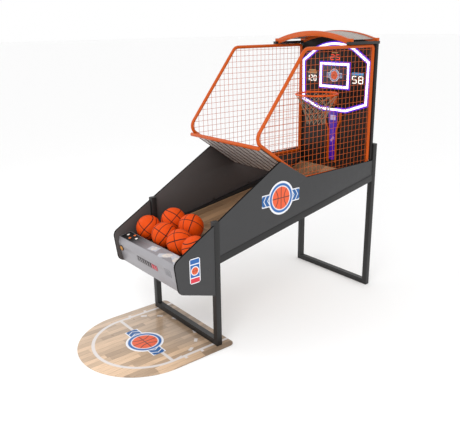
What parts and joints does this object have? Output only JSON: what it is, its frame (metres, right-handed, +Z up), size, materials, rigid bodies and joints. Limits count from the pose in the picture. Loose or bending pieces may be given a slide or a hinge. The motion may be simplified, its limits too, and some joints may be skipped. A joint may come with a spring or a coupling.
{
  "type": "arcade basketball hoop machine",
  "caption": "Arcade basketball machine: sloping ball return under a wire cage, lit backboard with hoop and net, control box with buttons, and a round-fronted floor mat.",
  "frame": {"origin": "on the floor, under the middle of the machine with its mat", "axes": "+X to the player's right across the machine, +Y from the player towards the backboard, +Z up"},
  "size_m": [1.08, 2.951, 2.496],
  "materials": {
    "black_steel": "satin black powder coat",
    "black_plastic": "matte",
    "grey_laminate": "dark grey laminated board, satin",
    "fastener_steel": "zinc plated, dark",
    "silver_metal": "silver grey paint, satin",
    "deck_print": "printed film, black to grey, glossy",
    "bezel_black": "glossy dark brown-black",
    "name_plate": null,
    "grille_metal": "perforated, satin",
    "speaker_black": "matte",
    "trough_wood": "varnished",
    "ramp_wood": "varnished, grooved lengthwise",
    "gate_steel": "ground",
    "motor_grey": "dark grey",
    "orange_tube": "orange gloss paint",
    "orange_wire": "orange gloss paint",
    "guard_wire": "pale grey paint with brown lines",
    "back_black": "black laminated board",
    "board_gloss": "glossy black sheet",
    "led_white": "lit white light strip",
    "emblem_print": null,
    "display_glass": "dark display window",
    "net_cord": "knotted cord",
    "stanchion_purple": "purple sheet",
    "roof_sheet": "perforated grey sheet",
    "ebox_steel": "dark grey powder coat",
    "circuit_board": "green board with parts",
    "psu_case": "folded sheet case",
    "mat_vinyl": "glossy vinyl with a plank floor print",
    "ball_rubber": "pebbled orange rubber with black seams",
    "button_white": "glossy white",
    "button_orange": "glossy orange",
    "start_brass": "brass coloured, glossy"
  },
  "bodies": {
    "machine": {"front_leg_frame": "black_steel", "rear_leg_frame": "black_steel", "side_rails": "black_steel", "cross_bars": "black_steel", "roof_rails": "black_steel", "gate_bearings": "black_steel", "post_caps": "black_plastic", "power_inlet": "black_plastic", "score_sensor": "black_plastic", "left_side_panel": "grey_laminate", "right_side_panel": "grey_laminate", "left_wing": "grey_laminate", "right_wing": "grey_laminate", "panel_fasteners": "fastener_steel", "control_box": "silver_metal", "deck_overlay": "deck_print", "button_bezels": "bezel_black", "name_plate": "name_plate", "speaker_grille": "grille_metal", "speaker": "speaker_black", "ball_trough": "trough_wood", "ramp": "ramp_wood", "rear_deflector": "ramp_wood", "gate_motor": "motor_grey", "left_cage_frame": "orange_tube", "right_cage_frame": "orange_tube", "front_crossbar": "orange_tube", "roof_arches": "orange_tube", "rim": "orange_tube", "rim_bracket": "orange_tube", "stanchion_tubes": "orange_tube", "left_cage_mesh": "orange_wire", "right_cage_mesh": "orange_wire", "guard_mesh": "guard_wire", "back_panel": "back_black", "backboard": "board_gloss", "led_strips": "led_white", "emblem_plate": "emblem_print", "score_displays": "display_glass", "net": "net_cord", "stanchion_panel": "stanchion_purple", "roof_panel": "roof_sheet", "electronics_box": "ebox_steel", "control_board": "circuit_board", "power_supply": "psu_case", "floor_mat": "mat_vinyl"},
    "gate": {"gate_flap": "ramp_wood", "gate_shaft": "gate_steel"},
    "service_door": {"service_door": "ebox_steel"},
    "start_button": {"start_button": "start_brass"},
    "ball_1": {"ball_1": "ball_rubber"},
    "ball_2": {"ball_2": "ball_rubber"},
    "ball_3": {"ball_3": "ball_rubber"},
    "ball_4": {"ball_4": "ball_rubber"},
    "ball_5": {"ball_5": "ball_rubber"},
    "ball_6": {"ball_6": "ball_rubber"},
    "deck_button_1": {"deck_button_1": "button_white"},
    "deck_button_2": {"deck_button_2": "button_orange"},
    "deck_button_3": {"deck_button_3": "button_orange"},
    "deck_button_4": {"deck_button_4": "button_white"}
  },
  "joints": [
    {"name": "gate_lift", "type": "hinge", "parent": "machine", "child": "gate", "pos_m": [0, -0.23241, 0.83423], "axis": [-1, 0, 0], "range_deg": [0, 70]},
    {"name": "door_hinge", "type": "hinge", "parent": "machine", "child": "service_door", "pos_m": [-0.3065, 1.4695, 1.83], "axis": [0, 0, 1], "range_deg": [0, 110]},
    {"name": "ball_1_lift", "type": "slide", "parent": "machine", "child": "ball_1", "axis": [0, -0.4, 0.9165], "range_m": [0, 0.25]},
    {"name": "ball_2_lift", "type": "slide", "parent": "machine", "child": "ball_2", "axis": [0, -0.4, 0.9165], "range_m": [0, 0.25]},
    {"name": "ball_3_lift", "type": "slide", "parent": "machine", "child": "ball_3", "axis": [0, -0.4, 0.9165], "range_m": [0, 0.25]},
    {"name": "ball_4_lift", "type": "slide", "parent": "machine", "child": "ball_4", "axis": [0, -0.4, 0.9165], "range_m": [0, 0.25]},
    {"name": "ball_5_lift", "type": "slide", "parent": "machine", "child": "ball_5", "axis": [0, 0, 1], "range_m": [0, 0.25]},
    {"name": "ball_6_lift", "type": "slide", "parent": "machine", "child": "ball_6", "axis": [0, 0, 1], "range_m": [0, 0.25]},
    {"name": "deck_button_1_press", "type": "slide", "parent": "machine", "child": "deck_button_1", "axis": [0, 0.1892, -0.9819], "range_m": [0, 0.003], "stiffness_N_per_m": 800, "springref_m": -0.002},
    {"name": "deck_button_2_press", "type": "slide", "parent": "machine", "child": "deck_button_2", "axis": [0, 0.1892, -0.9819], "range_m": [0, 0.003], "stiffness_N_per_m": 800, "springref_m": -0.002},
    {"name": "deck_button_3_press", "type": "slide", "parent": "machine", "child": "deck_button_3", "axis": [0, 0.1892, -0.9819], "range_m": [0, 0.003], "stiffness_N_per_m": 800, "springref_m": -0.002},
    {"name": "deck_button_4_press", "type": "slide", "parent": "machine", "child": "deck_button_4", "axis": [0, 0.1892, -0.9819], "range_m": [0, 0.003], "stiffness_N_per_m": 800, "springref_m": -0.002},
    {"name": "start_button_press", "type": "slide", "parent": "machine", "child": "start_button", "axis": [0, 0.9787, 0.2052], "range_m": [0, 0.004], "stiffness_N_per_m": 800, "springref_m": -0.002}
  ]
}
